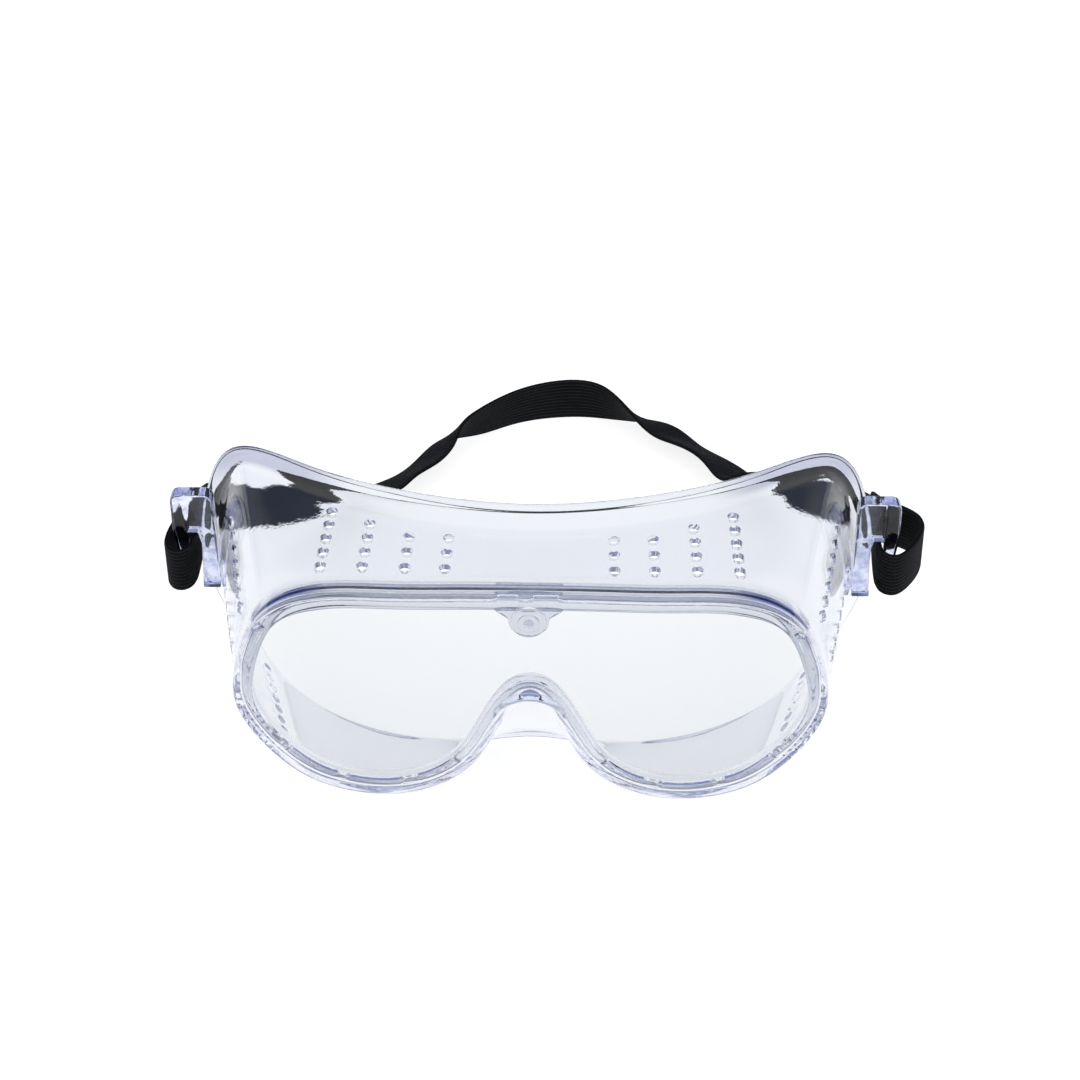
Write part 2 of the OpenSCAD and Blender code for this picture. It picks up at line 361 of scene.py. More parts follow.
def wall_station(share, inset):
    """A place part of the way from the rim to the root of the flange."""
    def place(turn):
        x, z = rim_at(turn, inset)
        front = Vector((x, SHELF_Y, z))
        root = flange_at(turn, ROOT_INSET * flare(turn) + inset, ROOT_FORWARD * flare(turn))
        return on_goggles(*(front + share * (root - front)))
    return place


def flange_station(inset, forward):
    def place(turn):
        return on_goggles(*flange_at(turn, inset * flare(turn), forward * flare(turn)))
    return place


lip_front = [lip_station(*s) for s in
             [(LIP_WIDTH, 0.6, 0), (4.85, 0.2, 0.35), (4.4, 0.03, 0.33), (3.6, 0, 0.05)]]
lip_front += [corner_station(*s) for s in
              [(2.4, 0, 0.45, 0), (1.3, 0, 0.75, 0.02), (0.35, 0.05, 0.95, 0.1),
               (0.05, 0.4, 0.45, 0.3), (0, 1.2, 0, 0.45)]]
lip_front += [rim_station(*s) for s in [(0, 3.2), (0, 4.6), (0.06, 5.2), (0.18, 5.7)]]
outside = [wall_station(*s) for s in
           [(0.14, 0.22), (0.24, 0.1), (0.37, 0.03), (0.5, 0), (0.65, 0), (0.8, 0), (0.92, 0), (1, 0)]]
bead = [flange_station(*s) for s in
        [(3.1, 3.2), (2.2, 1.9), (1.35, 1.15), (0.85, 1.0), (0.35, 1.12), (-0.45, 0.98),
         (-0.95, 0.5), (-1.1, 0), (-0.9, -0.6), (-0.4, -1.0), (0.3, -1.05), (1.0, -0.7),
         (2.2, -0.1), (3.4, 0.8), (4.6, 1.9)]]
inside = [wall_station(*s) for s in
          [(1, WALL), (0.85, WALL), (0.68, WALL), (0.5, WALL), (0.32, WALL), (0.18, WALL)]]
groove = [rim_station(*s) for s in
          [(1.85, 5.5), (2.4, 5.08), (3.6, 5.0), (4.6, 5.0), (4.95, 4.8), (5.0, 4.2), (4.95, 3.6),
           (4.6, 3.42), (3.6, 3.4), (2.4, 3.4), (1.9, 3.3), (1.8, 2.6), (1.9, 1.9)]]
groove += [pad_station(2.4, 1.8), pad_station(3.6, 1.8), pad_station(4.2, 1.8)]
groove += [lip_station(4.7, 1.76, 0), lip_station(4.95, 1.5, 0), lip_station(5.02, 1.1, 0)]
stations = lip_front + outside + bead + inside + groove

moulding = sweep("vinyl_moulding", AROUND, TURNS, stations, solid=False)
print("moulding:", len(stations), "stations,", len(moulding.data.polygons), "faces")

# %% [markdown]
# ## Brow ledge
# A thin visor runs along the top of the lip and turns in across it at both ends. On the mesh it
# grows out of the lip's own faces: the faces along the outer corner are selected by their turn
# and row, and extruded forwards twice. The middle stays shallower, with two small posts, and
# the inward ends taper to a point.

# %% Extrude the brow ledge
HOOK_TURNS = 0.06         # turns that the inward hook takes up
HOOK_TAPER = {3: 0.12, 4: 0.5, 5: 0.85, 6: 1, 7: 1}    # depth left at each row of its end
LEDGE_ROWS = (5, 7)       # rows of the lip that the ledge grows from
HOOK_ROWS = (3, 6)
LEDGE_DEEP = 2.9
LEDGE_SHALLOW = 1.7
LEDGE_GAP = 7.7           # half width of the shallow middle
POSTS_X = (-1.3, 0.9)
POST_HALF = 0.7
LEDGE_END = LEDGE_REACH - 0.1


def on_ledge(turns, rows):
    """True for the faces of the ledge, and for those of the hook at each end."""
    reach = max(abs(from_top(t)) for t in turns)
    if reach > LEDGE_END + 0.01:
        return False
    if min(rows) >= LEDGE_ROWS[0] and max(rows) <= LEDGE_ROWS[1]:
        return True
    in_hook = min(rows) >= HOOK_ROWS[0] and max(rows) <= HOOK_ROWS[1]
    return in_hook and reach > LEDGE_END - HOOK_TURNS


def push_forward(piece, depth, steps):
    """Extrudes the selected faces towards the front in a few steps."""
    for step in steps:
        extrude_by(0, -step * depth * MM, 0)
    bmesh.update_edit_mesh(piece.data)


select_only(moulding)
bpy.ops.object.mode_set(mode="EDIT")
found = select_faces(moulding, on_ledge)
push_forward(moulding, LEDGE_SHALLOW, (0.15, 0.7, 0.15))
bm = bmesh.from_edit_mesh(moulding.data)
for face in [f for f in bm.faces if f.select]:
    middle = face.calc_center_median()
    near_post = min(abs(middle.x / MM - x) for x in POSTS_X) < POST_HALF
    if abs(middle.x) < LEDGE_GAP * MM and not near_post:
        face.select_set(False)
bmesh.update_edit_mesh(moulding.data)
push_forward(moulding, LEDGE_DEEP - LEDGE_SHALLOW, (0.2, 0.6, 0.2))
bm = bmesh.from_edit_mesh(moulding.data)
turn_layer = bm.verts.layers.float["turn"]
row_layer = bm.verts.layers.float["row"]
for vertex in bm.verts:
    at_end = abs(from_top(vertex[turn_layer])) > LEDGE_END - HOOK_TURNS - 0.08
    if at_end and vertex.co.y < lip_low.y - 0.0002:
        share = HOOK_TAPER[min(round(vertex[row_layer]), LEDGE_ROWS[1])]
        vertex.co.y = lip_low.y + (vertex.co.y - lip_low.y) * share
bmesh.update_edit_mesh(moulding.data)
bpy.ops.object.mode_set(mode="OBJECT")
print("brow ledge grown from", found, "faces")

# %% [markdown]
# Clear vinyl shows its blue where it is thick. Along its edges, where light is bent and carried
# inside it, it also shows thin navy lines. Those lines are painted into its colour as navy shade,
# partly the vinyl's own blue: most of all at the root of the brow ledge's corners, and a little on
# the top corners of the bead. Each vertex keeps that painted shade as one number, which the
# finish turns into navy.

# %% Mark the painted navy shade
# Amounts and places of painted navy shade, partly the vinyl's own blue.
LEDGE_CORNER = (2.9, 4.35)   # turns from the top centre
CORNER_FADE = 0.7
LEDGE_ROOT = (-1.7, 0.8)     # mm in front of the lip, where painted navy shade runs along the ledge's root
ROOT_FADE = 0.8
ROOT_MIDDLE = 0.4            # share of the navy left in the straight part
LIP_TOP_ROWS = (7, 9)        # rows on the lip's outer side
LEDGE_CORNER_SHADE = 0.2      # painted navy shade on the ledge itself
LEDGE_MIDDLE_SHADE = 0.06
BEAD_CORNER = (2.6, 4.7)
BEAD_FADE = 0.9
BEAD_CORNER_SHADE = 0.6
CHEEKS_FROM = 5.5
BEAD_LINE = 0.85             # a thin line of painted navy shade along the cheeks
LIP_EDGE_SHADE = 0.13
TOP_BAND_SHADE = 0.19         # the slanted band along the top of the lens
SIDE_EDGE_SHADE = 0.07
SIDES_FROM = 5
NOSE_WALL_SHADE = 0.07        # the short wall under the nose
NOSE_FROM, NOSE_FADE = 9.6, 0.8
FIRST_BEAD_ROW = len(lip_front) + len(outside)


def between(value, low, high, fade):
    """1 inside a span and 0 outside it, with soft ends."""
    return eased((value - low) / fade + 0.5) * eased((high - value) / fade + 0.5)


def painted_navy_shade_at(turn, row, forward_mm):
    """How much painted navy shade a vertex gets, from 0 to 1, partly the vinyl's own blue."""
    away = abs(from_top(turn))
    bead_row = row - FIRST_BEAD_ROW
    corner = between(away, *LEDGE_CORNER, CORNER_FADE)
    on_lip_top = LIP_TOP_ROWS[0] <= row <= LIP_TOP_ROWS[1]
    if on_lip_top and away < LEDGE_CORNER[1] + 0.2 and forward_mm < 0.9:
        return between(forward_mm, *LEDGE_ROOT, ROOT_FADE) * (corner + (1 - corner) * ROOT_MIDDLE)
    if forward_mm > 0.25:
        return LEDGE_MIDDLE_SHADE + (LEDGE_CORNER_SHADE - LEDGE_MIDDLE_SHADE) * corner
    if 1 <= bead_row <= 8 and away < CHEEKS_FROM:
        return BEAD_CORNER_SHADE * between(away, *BEAD_CORNER, BEAD_FADE)
    if 6 <= bead_row <= 8:
        return BEAD_LINE
    if row <= 2 and top_share(turn) > 0.5:
        return TOP_BAND_SHADE
    if row <= 1 or row >= len(stations) - 2:
        return LIP_EDGE_SHADE
    if on_lip_top and away > SIDES_FROM:
        return SIDE_EDGE_SHADE
    if row > len(lip_front) and bead_row < 3:
        return NOSE_WALL_SHADE * eased((away - NOSE_FROM) / NOSE_FADE)
    return 0.0


# Each vertex keeps its painted navy shade as one number.
forwards = [(lip_low.y - vertex.co.y) / MM for vertex in moulding.data.vertices]
blues = [painted_navy_shade_at(*v) for v in zip(kept(moulding, "turn"), kept(moulding, "row"), forwards)]
mark(moulding, "vinyl_blue_and_painted_shade", blues)
print("vertices marked deep:", sum(1 for blue in blues if blue > 0.1))

# %% [markdown]
# ## Smooth skin, then the vents
# One level of subdivision rounds every edge of the moulding the way a soft plastic part comes
# out of its mould. The vents are cut after it, by one Boolean with all the cutters joined. In
# the top wall they stand upright, and in the side walls each one follows the wall's own normal.

# %% Subdivide
apply_modifier(moulding, "SUBSURF", levels=1, render_levels=1)
print("moulding after subdivision:", len(moulding.data.polygons), "faces")

# %% Cut the vents
VENT_RADIUS = 1.45
VENT_PITCH = 5.2
TOP_COLUMNS = [(20.5, 3, 1.17), (30.2, 3, 1.13),       # distance from the centre, holes,
               (40.5, 4, 1), (50.7, 5, 0.94)]          # share of the pitch
TOP_FAN = 0.006
FIRST_VENT_Y = 9.0
SIDE_COLUMNS = (4.65, 5.4, 6.25, 7.1)                  # place round the outline, in turns
SIDE_VENTS = 7
SIDE_FROM, SIDE_TO = 0.2, 0.78                         # shares of the wall's depth
CUTTER_LONG = 8.0
VENT_WALL_SHADE = 0.62                                       # painted navy shade on the walls of the holes


def vent_cutter(start, end):
    """A cylinder from one place to another. Returns the object."""
    deselect_everything()
    turned = (end - start).to_track_quat("Z", "Y").to_euler()
    bpy.ops.mesh.primitive_cylinder_add(
        vertices=24, radius=VENT_RADIUS * MM, depth=(end - start).length,
        location=(start + end) / 2, rotation=turned)
    return bpy.context.object


cutters = []
for side in (-1, 1):
    for distance, holes, pitch_share in TOP_COLUMNS:
        for k in range(holes):
            x = side * distance * (1 - TOP_FAN * k)
            y = FIRST_VENT_Y + k * pitch_share * VENT_PITCH
            cutters.append(vent_cutter(on_goggles(x, y, 55), on_goggles(x, y, 85)))
    for column in SIDE_COLUMNS:
        for k in range(SIDE_VENTS):
            share = SIDE_FROM + k * (SIDE_TO - SIDE_FROM) / (SIDE_VENTS - 1)
            outer = wall_station(share, -CUTTER_LONG / 2)(side * column)
            inner = wall_station(share, WALL + CUTTER_LONG / 2)(side * column)
            cutters.append(vent_cutter(outer, inner))
all_cutters = join_pieces(cutters)
# The cutters carry painted navy shade onto the walls of the holes.
mark(all_cutters, "vinyl_blue_and_painted_shade", [VENT_WALL_SHADE] * len(all_cutters.data.vertices))
apply_modifier(moulding, "BOOLEAN", object=all_cutters, operation="DIFFERENCE", solver="EXACT")
bpy.data.objects.remove(all_cutters)
smooth(moulding, 50)
print("vents:", len(cutters), "and the moulding now has", len(moulding.data.polygons), "faces")

# %% [markdown]
# ## Lens tab
# A rounded tab reaches down from the lip over the top of the lens, and carries a round boss
# with a ring groove and a dimple. It is a nest of rings: the tab's back edge, its front edge,
# and then the boss, each one extruded from the last and put on a smaller outline.

# %% Model the tab
TAB_DROP = 9.4            # centre of the boss below the top of the rim
TAB_RADIUS = 5.0
TAB_SHOULDER = 8.4
TAB_COUNT = 64
TAB_EDGE_SHADE = 0.12      # painted navy shade on its edge, which is its first four rings
TAB_DIMPLE_SHADE = 0.4     # and painted shade in the dimple, its last two
rim_top = closed_curve(RIM, 0).y
TAB_Z = rim_top - TAB_DROP


def tab_outline(shrink, y):
    """The tab's outline: a half circle below that widens in a smooth curve up to the lip."""
    def place(turn):
        angle = 2 * math.pi * turn
        x = math.cos(angle) * (TAB_RADIUS - shrink)
        z = math.sin(angle) * (TAB_RADIUS - shrink)
        if z > 0:
            rise = min(1.0, 1.15 * math.sin(angle))
            wide = TAB_RADIUS + (TAB_SHOULDER - TAB_RADIUS) * eased(rise)
            x = wide * max(-1.0, min(1.0, 1.6 * math.cos(angle))) * (1 - shrink / TAB_RADIUS)
            z = rise * (TAB_DROP - LIP_WIDTH - LIP_EXTRA + 0.8)
        return on_goggles(x, y, TAB_Z + z)
    return place


def boss_ring(radius, y):
    def place(turn):
        angle = 2 * math.pi * turn
        return on_goggles(radius * math.cos(angle), y, TAB_Z + radius * math.sin(angle))
    return place


tab_rings = [tab_outline(0.5, 1.75), tab_outline(0.05, 1.6), tab_outline(0, 0.9),
             tab_outline(0.05, 0.3), tab_outline(0.3, 0.06)]
tab_rings += [boss_ring(*s) for s in
              [(4.55, 0.02), (4.45, -0.1), (4.4, -0.6), (4.2, -0.78), (3.1, -0.8), (2.9, -0.7),
               (2.85, -0.42), (2.55, -0.42), (2.5, -0.7), (2.3, -0.8), (1.45, -0.8),
               (1.25, -0.65), (1.2, -0.25), (0.9, -0.15)]]
tab = sweep("lens_tab_boss", TAB_COUNT, 1, tab_rings)
dimple_row = len(tab_rings) - 2
# Painted navy shade on the tab's edge and in its dimple.
mark(tab, "vinyl_blue_and_painted_shade", [TAB_EDGE_SHADE if row <= 3 else TAB_DIMPLE_SHADE if row >= dimple_row else 0.0
                   for row in kept(tab, "row")])
smooth(tab, 40)
print("tab:", len(tab.data.polygons), "faces")

# %% [markdown]
# ## Nose visor
# A small arched ledge stands out over the nose. A grid primitive is rolled onto an arc by
# moving its vertices, extruded forwards to its depth, and its edges are rounded by a bevel.

# %% Model the nose visor
NOSE_RADIUS = 10.0
NOSE_CENTRE_Z = 25.3
NOSE_THICK = 0.55
NOSE_OUT = 2.6
NOSE_START = 24           # degrees up from level where the arc begins
NOSE_STEPS = 40

deselect_everything()
bpy.ops.mesh.primitive_grid_add(x_subdivisions=NOSE_STEPS, y_subdivisions=1, size=2)
nose = bpy.context.object
nose.name = "nose_visor"
bpy.ops.object.mode_set(mode="EDIT")
bm = bmesh.from_edit_mesh(nose.data)
for vertex in bm.verts:
    share = (vertex.co.x + 1) / 2
    angle = math.radians(180 - NOSE_START - share * (180 - 2 * NOSE_START))
    radius = NOSE_RADIUS - (NOSE_THICK if vertex.co.y < 0 else 0)
    x, z = radius * math.cos(angle), NOSE_CENTRE_Z + radius * math.sin(angle)
    vertex.co = on_goggles(x, 0.5, z)
bmesh.update_edit_mesh(nose.data)
bpy.ops.mesh.select_all(action="SELECT")
extrude_by(0, -(NOSE_OUT + 0.5) * MM, 0)
finish_mesh()
apply_modifier(nose, "BEVEL", width=0.4 * MM, segments=3, limit_method="ANGLE")
smooth(nose, 40)
print("nose visor:", len(nose.data.polygons), "faces")

# %% [markdown]
# ## Lens
# The lens is a flat sheet cut to the outline of the groove. A ring on that outline is filled
# with one face, extruded to the thickness and given a small ground edge on both sides.

# %% Model the lens
LENS_INSET = 2.25
LENS_FRONT = 1.93
LENS_BACK = 3.27
LENS_EDGE = 0.25
lens_rings = [rim_station(LENS_INSET + LENS_EDGE, LENS_FRONT),
              rim_station(LENS_INSET, LENS_FRONT + LENS_EDGE),
              rim_station(LENS_INSET, LENS_BACK - LENS_EDGE),
              rim_station(LENS_INSET + LENS_EDGE, LENS_BACK)]
lens = sweep("clear_lens", AROUND, TURNS, lens_rings)
mark(lens, "ground_edge", [1.0 if row in (1, 2) else 0.0 for row in kept(lens, "row")])
smooth(lens, 30)
print("lens:", len(lens.data.polygons), "faces")

# %% [markdown]
# ## Strap hooks
# Each temple has a plate on the skirt, a bridge across its top and a prong that hangs down
# outside it and tapers to a point, so that the webbing's loop slips over it. The right one
# starts as a cube the size of the plate. It is cut by bisect where the bridge begins, and the
# faces there are extruded. The left one is its mirror copy.

# %% Model one hook
PLATE_IN = 81.8
PLATE_OUT = 86.4
PRONG_IN = 89.3
PRONG_OUT = 92.8
HOOK_TOP = 62.3
BRIDGE_LOW = 50.3
PRONG_LOW = 35.2
HOOK_MIDDLE_Y = 45
HOOK_DEPTH = 4.0
HOOK_TALL = 30.0
PRONG_STEPS = ((0.4, 92.0), (0.4, 90.9), (0.2, 90.2))   # shares of its length, outer edge
PLATE_WAIST = ((46.5, 0.8), (38.0, 1.0), (34.0, -0.1))  # height, how far the edge moves in
DOME = 2.4
POCKET_RIM = 0.7
POCKET_DEEP = 0.9
HOOK_ROUNDING = 0.55
NEAR = 1e-5


def select_by_normal(piece, direction, test):
    """In edit mode, selects the faces that look one way and pass a test of their middle."""
    bpy.ops.mesh.select_mode(type="FACE")
    bpy.ops.mesh.select_all(action="DESELECT")
    bm = bmesh.from_edit_mesh(piece.data)
    for face in bm.faces:
        if face.normal.dot(Vector(direction)) > 0.9 and test(face.calc_center_median()):
            face.select_set(True)
    bmesh.update_edit_mesh(piece.data)


def cut_across(place, normal):
    """Cuts the whole mesh by a plane and keeps both sides."""
    bpy.ops.mesh.select_all(action="SELECT")
    bpy.ops.mesh.bisect(plane_co=place, plane_no=normal)


deselect_everything()
low = on_goggles(PLATE_IN, HOOK_MIDDLE_Y - HOOK_DEPTH / 2, HOOK_TOP - HOOK_TALL)
high = on_goggles(PLATE_OUT, HOOK_MIDDLE_Y + HOOK_DEPTH / 2, HOOK_TOP)
bpy.ops.mesh.primitive_cube_add(size=1, location=(low + high) / 2, scale=high - low)
hook = bpy.context.object
hook.name = "strap_hook_right_moulded"
bpy.ops.object.transform_apply(location=True, rotation=True, scale=True)
bpy.ops.object.mode_set(mode="EDIT")
bridge_place = on_goggles(PLATE_OUT, HOOK_MIDDLE_Y, BRIDGE_LOW)
cut_across(bridge_place, (0, 0, 1))
select_by_normal(hook, (1, 0, 0), lambda m: m.z > bridge_place.z)
extrude_by((PRONG_IN - PLATE_OUT) * MM, 0, 0)
extrude_by((PRONG_OUT - PRONG_IN) * MM, 0, 0)
prong_side = (PRONG_IN + PRONG_OUT) / 2 * MM - 0.0012
select_by_normal(hook, (0, 0, -1), lambda m: m.x > on_goggles(PRONG_IN, 0, 0).x)
for share, outer_mm in PRONG_STEPS:
    extrude_by(0, 0, -share * (BRIDGE_LOW - PRONG_LOW) * MM)
    bm = bmesh.from_edit_mesh(hook.data)
    for vertex in bm.verts:
        if vertex.select and vertex.co.x > prong_side:
            inner = abs(vertex.co.x - PRONG_IN * MM) < 0.0003
            vertex.co.x = (PRONG_IN + 0.15 if inner else outer_mm) * MM
    bmesh.update_edit_mesh(hook.data)

# %% Give the plate a waist and a foot, and round the top
for height, inward_mm in PLATE_WAIST:
    level = on_goggles(0, 0, height)
    bpy.ops.mesh.select_mode(type="VERT")
    cut_across(level, (0, 0, 1))
    bm = bmesh.from_edit_mesh(hook.data)
    for vertex in bm.verts:
        on_level = abs(vertex.co.z - level.z) < NEAR
        if on_level and abs(vertex.co.x - PLATE_OUT * MM) < NEAR:
            vertex.co.x -= inward_mm * MM
    bmesh.update_edit_mesh(hook.data)
bpy.ops.mesh.select_mode(type="EDGE")
bpy.ops.mesh.select_all(action="DESELECT")
bm = bmesh.from_edit_mesh(hook.data)
for edge in bm.edges:
    ends = [v.co for v in edge.verts]
    along_y = abs(ends[0].y - ends[1].y) > 0.001
    on_top = min(end.z for end in ends) > high.z - NEAR
    outermost = min(abs(ends[0].x - PLATE_IN * MM), abs(ends[0].x - PRONG_OUT * MM)) < NEAR
    edge.select_set(along_y and on_top and outermost)
bmesh.update_edit_mesh(hook.data)
bpy.ops.mesh.bevel(offset=DOME * MM, segments=6, affect="EDGES")
select_by_normal(hook, (0, -1, 0), lambda m: m.z > bridge_place.z and m.x < prong_side)
bpy.ops.mesh.inset(thickness=POCKET_RIM * MM)
bpy.ops.transform.translate(value=(0, POCKET_DEEP * MM, 0))
finish_mesh()
apply_modifier(hook, "BEVEL", width=HOOK_ROUNDING * MM, segments=3, limit_method="ANGLE",
               angle_limit=0.6)
smooth(hook, 40)

# %% Mirror it for the other temple
select_only(hook)
bpy.ops.object.duplicate()
other_hook = bpy.context.object
other_hook.name = "strap_hook_left_moulded"
other_hook.data.transform(Matrix.Scale(-1, 4, (1, 0, 0)))
bpy.ops.object.mode_set(mode="EDIT")
finish_mesh()
print("hooks:", len(hook.data.polygons), "faces each")

# %% [markdown]
# ## Headband
# The headband is half-inch woven elastic: a thin band with fine ribs along its length. Its route
# is a list of points with the height and the lean of the webbing, from the right tail, round
# the prong, along the table at the back and round to the left tail. A ring of the ribbed
# cross-section is carried along that route, extrude by extrude. Each vertex remembers how far
# along and across the webbing it lies, so that the weave can follow the band's bends and twists.

# %% The route of the webbing
BAND_WIDTH = 12.7
BAND_THICK = 1.3
SIDE_RIGHT = [(89.6, 79, 31.8, 2), (90.6, 71, 36.4, 0), (93.4, 65, 39.6, 0), (97.6, 59.5, 41.6, 0),
              (100.3, 54, 42.8, 0), (98.4, 46, 43.2, 0), (94.6, 40.2, 43.2, 0),
              (91.6, 37.8, 43.2, 0), (88.1, 39.8, 43.2, 0), (87.8, 45, 43, 0), (88, 52, 42.4, 0),
              (88.5, 60, 40.8, 0), (88.8, 68, 38, 0), (88, 76, 33.6, 2)]
SIDE_LEFT = [(89.6, 79, 31.8, 2), (90.4, 71, 36.2, 0), (91.2, 63, 39.6, 0), (92.9, 55, 41.2, 0),
             (94.4, 48, 42, 0), (94.8, 42, 42, 0), (93.4, 38.4, 42, 0), (90.6, 37.6, 42, 0),
             (88, 39.8, 42, 0), (87.8, 45, 42, 0), (87.9, 52, 41.6, 0), (88.5, 60, 40.4, 0),
             (88.8, 68, 37.8, 0), (88, 76, 33.6, 2)]
RIGHT_RUN = [(84.8, 87, 28.5, 6), (79.5, 98, 21.5, 10), (74, 107, 15.5, 12), (66.5, 116, 12, 16),
             (60.5, 123.5, 8.5, 42), (56, 129, 5, 76), (52.5, 135.5, 5, 66), (47.5, 142, 5, 55),
             (41, 148.5, 3.8, 56), (34.5, 155.5, 4, 80), (24.5, 161.5, 5.6, 36),
             (14.5, 167.5, 7, -5), (3, 167, 7.2, -5)]
LEFT_RUN = [(-9.5, 163, 7.2, 6), (-19.5, 156, 6.2, 12), (-27.5, 151, 6.5, 37),
            (-31.5, 144.5, 4.2, 60), (-35.5, 136.5, 3.8, 59), (-41.5, 130, 4.2, 52),
            (-46.5, 124, 3.8, 75), (-52, 119.5, 6.2, 44), (-59, 113, 8.8, 18),
            (-68, 105, 11.2, 16), (-76.5, 96.5, 17, 12), (-83.2, 87, 24, 6)]
left_side = [(-x, y, z, lean) for x, y, z, lean in reversed(SIDE_LEFT)]
ROUTE = [Vector(p) for p in SIDE_RIGHT + RIGHT_RUN + LEFT_RUN + left_side]
LAST = len(ROUTE) - 1


def route_at(t):
    """Place and lean of the webbing, t points along its route."""
    start = math.floor(t)
    total = Vector((0, 0, 0, 0))
    for k, share in enumerate(blend_weights(t - start)):
        total += share * ROUTE[max(0, min(LAST, start - 1 + k))]
    return total


def band_frame(t):
    """Middle of the band with its directions along, across its width and out of its face."""
    here = route_at(t)
    along = (route_at(t + 0.05) - route_at(t - 0.05)).to_3d().normalized()
    upright = (Vector((0, 0, 1)) - along.z * along).normalized()
    lean = math.radians(here.w)
    across = math.cos(lean) * upright - math.sin(lean) * along.cross(upright)
    return here.to_3d(), along, across, along.cross(across)


def on_band(t, across_mm, out_mm):
    """A place in the row frame beside the middle line of the webbing."""
    middle, along, across, out = band_frame(t)
    x, y, z = middle + across_mm * across + out_mm * out
    return Vector((x * MM, lip_low.y + y * MM, z * MM))


# %% Sweep the ribbed webbing
RIBS = 11
POINTS_PER_RIB = 4
RIB_DEPTH = 0.11
STEPS_PER_POINT = 6
rib_samples = RIBS * POINTS_PER_RIB


def band_profile():
    """Points of the cross-section: across and out, in mm, ribbed on both faces."""
    half = BAND_WIDTH / 2 - 0.25
    points = []
    for side in (1, -1):
        for k in range(rib_samples + 1):
            share = k / rib_samples
            ripple = abs(math.sin(math.pi * share * RIBS)) ** 0.6
            out = side * (BAND_THICK / 2 - RIB_DEPTH * (1 - ripple))
            across = side * half * (1 - 2 * share)
            if k in (0, rib_samples):
                out = side * 0.28 * BAND_THICK
                across *= 1.0 + 0.25 / half
            points.append((across, out))
    return points


PROFILE = band_profile()


def band_ring(t):
    def place(turn):
        across, out = PROFILE[round(turn)]
        return on_band(t, across, out)
    return place


route_steps = [step / STEPS_PER_POINT for step in range(STEPS_PER_POINT * LAST + 1)]
webbing = sweep("elastic_headband", len(PROFILE), len(PROFILE), [band_ring(t) for t in route_steps])
distances = [0.0]
for before, after in zip(route_steps, route_steps[1:]):
    step = (route_at(after) - route_at(before)).to_3d().length
    distances.append(distances[-1] + step)
rows, turns = kept(webbing, "row"), kept(webbing, "turn")
lay = webbing.data.attributes.new("lay", "FLOAT_VECTOR", "POINT")
for k, (row, turn) in enumerate(zip(rows, turns)):
    lay.data[k].vector = (distances[round(row)], PROFILE[round(turn)][0], 0)
smooth(webbing, 60)
print("headband:", round(distances[-1]), "mm of webbing,", len(webbing.data.polygons), "faces")

# %% [markdown]
# ## Stitching
# Each tail is sewn down by two zigzag bar tacks. One stitch is a sphere primitive drawn out into
# a short grain of thread. It is copied along each zigzag, on both faces of the doubled webbing.

# %% Sew the tails
TACK_ROWS = (0.8, 1.3)    # places along the route where the tacks lie
TACK_STITCHES = 12
TACK_SPREAD = 0.07        # half width of the zigzag, in route points
TACK_REACH = 4.7          # half length of a tack, across the webbing
THREAD = 0.22
LAYERS_OUT = -BAND_THICK / 2 - 0.02
LAYERS_IN = 2.4


def lay_stitch(name, start, end):
    """One stitch between two places."""
    deselect_everything()
    bpy.ops.mesh.primitive_uv_sphere_add(segments=8, ring_count=6, radius=THREAD * MM)
    stitch = bpy.context.object
    stitch.name = name
    length = (end - start).length
    turn = (end - start).to_track_quat("Z", "Y").to_matrix().to_4x4()
    long = Matrix.Diagonal((1, 1, length / (2 * THREAD * MM) * 0.98, 1))
    stitch.data.transform(Matrix.Translation((start + end) / 2) @ turn @ long)
    return stitch


def sew_tail(name, start_end):
    """All the stitches of one tail, joined into one piece."""
    stitches = []
    for row in TACK_ROWS:
        for face in (LAYERS_OUT, LAYERS_IN):
            corners = []
            for k in range(TACK_STITCHES + 1):
                t = row + (TACK_SPREAD if k % 2 else -TACK_SPREAD)
                across = TACK_REACH * (2 * k / TACK_STITCHES - 1)
                corners.append(on_band(t if start_end else LAST - t, across, face))
            for start, end in zip(corners, corners[1:]):
                stitches.append(lay_stitch(name, start, end))
    sewn = join_pieces(stitches)
    sewn.name = name
    smooth(sewn)
    return sewn


right_tacks = sew_tail("bar_tacks_right", True)
left_tacks = sew_tail("bar_tacks_left", False)
print("stitching:", len(right_tacks.data.polygons), "faces a side")

# %% [markdown]
# ## Finishes
# Clear vinyl and the clear lens are glass-like: full transmission with a small, uneven
# roughness. Light that travels far inside vinyl loses its red, so the vinyl has a plain blue
# absorption in its volume, and the marked places go from its pale tint to navy: that navy is
# painted shade along edges and vent walls, partly the vinyl's own blue. Near the table the tint
# is paler still, because the table's glow washes it out. The surface ripple that a mould leaves
# is a shader group, shared by the vinyl and the lens with their own values. Each helper below
# adds one node, links it, and returns the socket with its result.

# %% Shader helpers
def new_material(name):
    """An empty node material: itself, its node tree and its Principled shader."""
    material = bpy.data.materials.new(name)
    material.use_nodes = True
    return material, material.node_tree, material.node_tree.nodes["Principled BSDF"]


def add_place(tree):
    """The place on the piece, in metres."""
    return tree.nodes.new("ShaderNodeTexCoord").outputs["Object"]


def add_mark(tree, name, output="Fac"):
    """A number or vector that the mesh keeps at each vertex."""
    node = tree.nodes.new("ShaderNodeAttribute")
    node.attribute_name = name
    return node.outputs[output]


def add_part(tree, vector, axis):
    """One part of a vector: X, Y or Z."""
    node = tree.nodes.new("ShaderNodeSeparateXYZ")
    tree.links.new(vector, node.inputs["Vector"])
    return node.outputs[axis]


